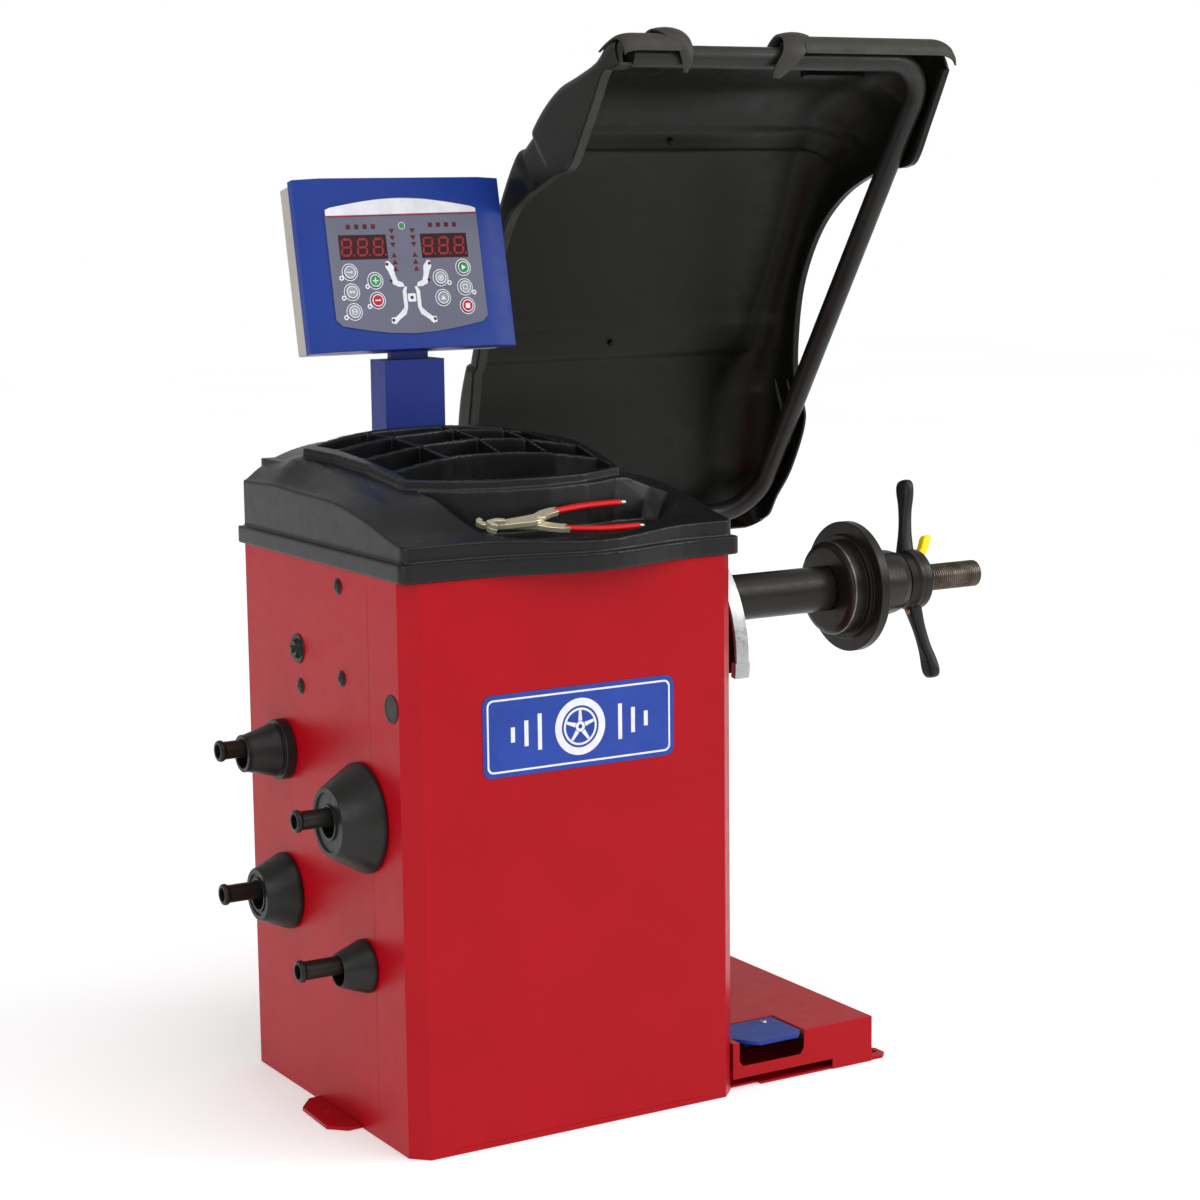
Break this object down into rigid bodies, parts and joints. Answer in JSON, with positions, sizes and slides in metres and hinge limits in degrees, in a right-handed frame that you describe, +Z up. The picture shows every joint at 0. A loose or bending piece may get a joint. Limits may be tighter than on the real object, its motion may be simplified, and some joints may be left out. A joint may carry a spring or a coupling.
{
  "type": "wheel balancer",
  "caption": "Floor-standing wheel balancer: cabinet, balancing shaft with quick nut, display head, weight tray, pull-over hood, brake pedal, rim gauge and cones on pegs.",
  "frame": {"origin": "centre of the cabinet's footprint, on the floor", "axes": "+X to the machine's right along the balancing shaft, +Y to the back, +Z up"},
  "size_m": [1.1713, 0.778, 1.476],
  "materials": {
    "red_paint": "semi-gloss powder coat",
    "blue_paint": "semi-gloss powder coat",
    "grey_plastic": "fine texture",
    "black_plastic": "fine grained moulding",
    "hood_plastic": "satin vacuum-formed sheet",
    "black_steel": "oil-blackened, machined",
    "bright_steel": "ground",
    "cast_iron": "as cast, painted grey",
    "aluminium": "satin",
    "rubber": "matt",
    "circuit_board": "solder mask",
    "key_plastic": "satin",
    "key_green": "satin",
    "key_red": "satin",
    "led_window": "dark red filter",
    "fascia_film": "printed film",
    "yellow_plastic": "moulded",
    "red_grip": "dipped vinyl"
  },
  "bodies": {
    "machine": {"cabinet_shell": "red_paint", "base_frame": "red_paint", "rear_panel": "red_paint", "mains_inlet": "black_plastic", "platform_cover": "red_paint", "pedal_pin": "bright_steel", "brake_cable": "rubber", "spindle_housing": "black_steel", "spindle_support": "cast_iron", "bearing_front": "bright_steel", "bearing_rear": "bright_steel", "motor": "cast_iron", "motor_bracket": "cast_iron", "drive_belt": "rubber", "power_board": "circuit_board", "weight_tray": "black_plastic", "display_column": "blue_paint", "display_front": "blue_paint", "display_back": "grey_plastic", "fascia_plate": "fascia_film", "control_board": "circuit_board", "led_window_left": "led_window", "led_window_right": "led_window", "hood_bracket": "black_steel", "gauge_guide": "black_plastic", "tool_peg_1": "black_plastic", "tool_peg_2": "black_plastic", "tool_peg_3": "black_plastic", "tool_peg_4": "black_plastic"},
    "power_rocker": {"power_switch": "rubber"},
    "pedal": {"brake_pedal": "blue_paint"},
    "brake": {"brake_lever": "bright_steel"},
    "spindle": {"spindle_shaft": "black_steel", "wheel_flange": "black_steel", "drive_pulley": "cast_iron", "encoder_disc": "aluminium"},
    "cup": {"pressure_cup": "black_steel"},
    "nut": {"quick_nut": "black_plastic"},
    "release": {"nut_release": "yellow_plastic"},
    "rotor": {"motor_pulley": "bright_steel"},
    "hood": {"hood_shell": "hood_plastic", "hood_frame": "hood_plastic"},
    "gauge_slider": {"gauge_rod": "bright_steel"},
    "gauge_pointer": {"gauge_arm": "black_plastic"},
    "pliers": {"pliers_lower": "bright_steel"},
    "pliers_lever": {"pliers_upper": "bright_steel"},
    "key_wheel_distance": {"key_wheel_distance": "key_plastic"},
    "key_wheel_width": {"key_wheel_width": "key_plastic"},
    "key_wheel_diameter": {"key_wheel_diameter": "key_plastic"},
    "key_plus": {"key_plus": "key_green"},
    "key_minus": {"key_minus": "key_red"},
    "key_mode": {"key_mode": "key_plastic"},
    "key_function": {"key_function": "key_plastic"},
    "key_start": {"key_start": "key_green"},
    "key_calibrate": {"key_calibrate": "key_plastic"},
    "key_stop": {"key_stop": "key_red"},
    "cone_1": {"centring_cone_1": "black_steel"},
    "cone_2": {"centring_cone_2": "black_steel"},
    "cone_3": {"centring_cone_3": "black_steel"},
    "cone_4": {"centring_cone_4": "black_steel"}
  },
  "joints": [
    {"name": "hood_pivot", "type": "hinge", "parent": "machine", "child": "hood", "pos_m": [0.4, 0.448, 0.713], "axis": [1, 0, 0], "range_deg": [0, 43]},
    {"name": "spindle_spin", "type": "hinge", "parent": "machine", "child": "spindle", "pos_m": [0.3, -0.045, 0.66], "axis": [1, 0, 0], "continuous": true},
    {"name": "motor_spin", "type": "hinge", "parent": "machine", "child": "rotor", "pos_m": [-0.09, 0.105, 0.48], "axis": [1, 0, 0], "continuous": true},
    {"name": "cup_slide", "type": "slide", "parent": "spindle", "child": "cup", "axis": [1, 0, 0], "range_m": [0, 0.105]},
    {"name": "nut_spin", "type": "hinge", "parent": "cup", "child": "nut", "pos_m": [0.692, -0.045, 0.66], "axis": [1, 0, 0], "continuous": true},
    {"name": "release_press", "type": "slide", "parent": "nut", "child": "release", "axis": [0, -0.2419, -0.9703], "range_m": [0, 0.0035], "stiffness_N_per_m": 500, "springref_m": -0.002},
    {"name": "pedal_press", "type": "hinge", "parent": "machine", "child": "pedal", "pos_m": [0.316, -0.02, 0.045], "axis": [1, 0, 0], "range_deg": [0, 6.5], "stiffness_Nm_per_rad": 60, "springref_deg": -5.73},
    {"name": "brake_swing", "type": "hinge", "parent": "machine", "child": "brake", "pos_m": [-0.09, -0.12, 0.56], "axis": [-1, 0, 0], "range_deg": [0, 1.7]},
    {"name": "gauge_slide", "type": "slide", "parent": "machine", "child": "gauge_slider", "axis": [1, 0, 0], "range_m": [0, 0.24], "stiffness_N_per_m": 20, "springref_m": -0.05},
    {"name": "gauge_swing", "type": "hinge", "parent": "gauge_slider", "child": "gauge_pointer", "pos_m": [0.29, -0.1165, 0.734], "axis": [-1, 0, 0], "range_deg": [0, 60]},
    {"name": "key_wheel_distance_press", "type": "slide", "parent": "machine", "child": "key_wheel_distance", "axis": [0, 0.9792, -0.2028], "range_m": [0, 0.0004], "stiffness_N_per_m": 800, "springref_m": -0.0005},
    {"name": "key_wheel_width_press", "type": "slide", "parent": "machine", "child": "key_wheel_width", "axis": [0, 0.9792, -0.2028], "range_m": [0, 0.0004], "stiffness_N_per_m": 800, "springref_m": -0.0005},
    {"name": "key_wheel_diameter_press", "type": "slide", "parent": "machine", "child": "key_wheel_diameter", "axis": [0, 0.9792, -0.2028], "range_m": [0, 0.0004], "stiffness_N_per_m": 800, "springref_m": -0.0005},
    {"name": "key_plus_press", "type": "slide", "parent": "machine", "child": "key_plus", "axis": [0, 0.9792, -0.2028], "range_m": [0, 0.0004], "stiffness_N_per_m": 800, "springref_m": -0.0005},
    {"name": "key_minus_press", "type": "slide", "parent": "machine", "child": "key_minus", "axis": [0, 0.9792, -0.2028], "range_m": [0, 0.0004], "stiffness_N_per_m": 800, "springref_m": -0.0005},
    {"name": "key_mode_press", "type": "slide", "parent": "machine", "child": "key_mode", "axis": [0, 0.9792, -0.2028], "range_m": [0, 0.0004], "stiffness_N_per_m": 800, "springref_m": -0.0005},
    {"name": "key_function_press", "type": "slide", "parent": "machine", "child": "key_function", "axis": [0, 0.9792, -0.2028], "range_m": [0, 0.0004], "stiffness_N_per_m": 800, "springref_m": -0.0005},
    {"name": "key_start_press", "type": "slide", "parent": "machine", "child": "key_start", "axis": [0, 0.9792, -0.2028], "range_m": [0, 0.0004], "stiffness_N_per_m": 800, "springref_m": -0.0005},
    {"name": "key_calibrate_press", "type": "slide", "parent": "machine", "child": "key_calibrate", "axis": [0, 0.9792, -0.2028], "range_m": [0, 0.0004], "stiffness_N_per_m": 800, "springref_m": -0.0005},
    {"name": "key_stop_press", "type": "slide", "parent": "machine", "child": "key_stop", "axis": [0, 0.9792, -0.2028], "range_m": [0, 0.0004], "stiffness_N_per_m": 800, "springref_m": -0.0005},
    {"name": "cone_1_slide", "type": "slide", "parent": "machine", "child": "cone_1", "axis": [-1, 0, 0], "range_m": [0, 0.027]},
    {"name": "cone_2_slide", "type": "slide", "parent": "machine", "child": "cone_2", "axis": [-1, 0, 0], "range_m": [0, 0.039]},
    {"name": "cone_3_slide", "type": "slide", "parent": "machine", "child": "cone_3", "axis": [-1, 0, 0], "range_m": [0, 0.044]},
    {"name": "cone_4_slide", "type": "slide", "parent": "machine", "child": "cone_4", "axis": [-1, 0, 0], "range_m": [0, 0.049]},
    {"name": "pliers_lift", "type": "slide", "parent": "machine", "child": "pliers", "axis": [0, 0, 1], "range_m": [0, 0.12]},
    {"name": "pliers_grip", "type": "hinge", "parent": "pliers", "child": "pliers_lever", "pos_m": [-0.017, -0.181, 0.8072], "axis": [0, -0.3714, 0.9285], "range_deg": [-12, 3]},
    {"name": "power_rock", "type": "hinge", "parent": "machine", "child": "power_rocker", "pos_m": [-0.15, 0.244, 0.14], "axis": [1, 0, 0], "range_deg": [0, 12]}
  ],
  "couplings": [
    {"joint": "motor_spin", "follows": "spindle_spin", "ratio": 3.4091},
    {"joint": "brake_swing", "follows": "pedal_press", "ratio": 0.25}
  ]
}
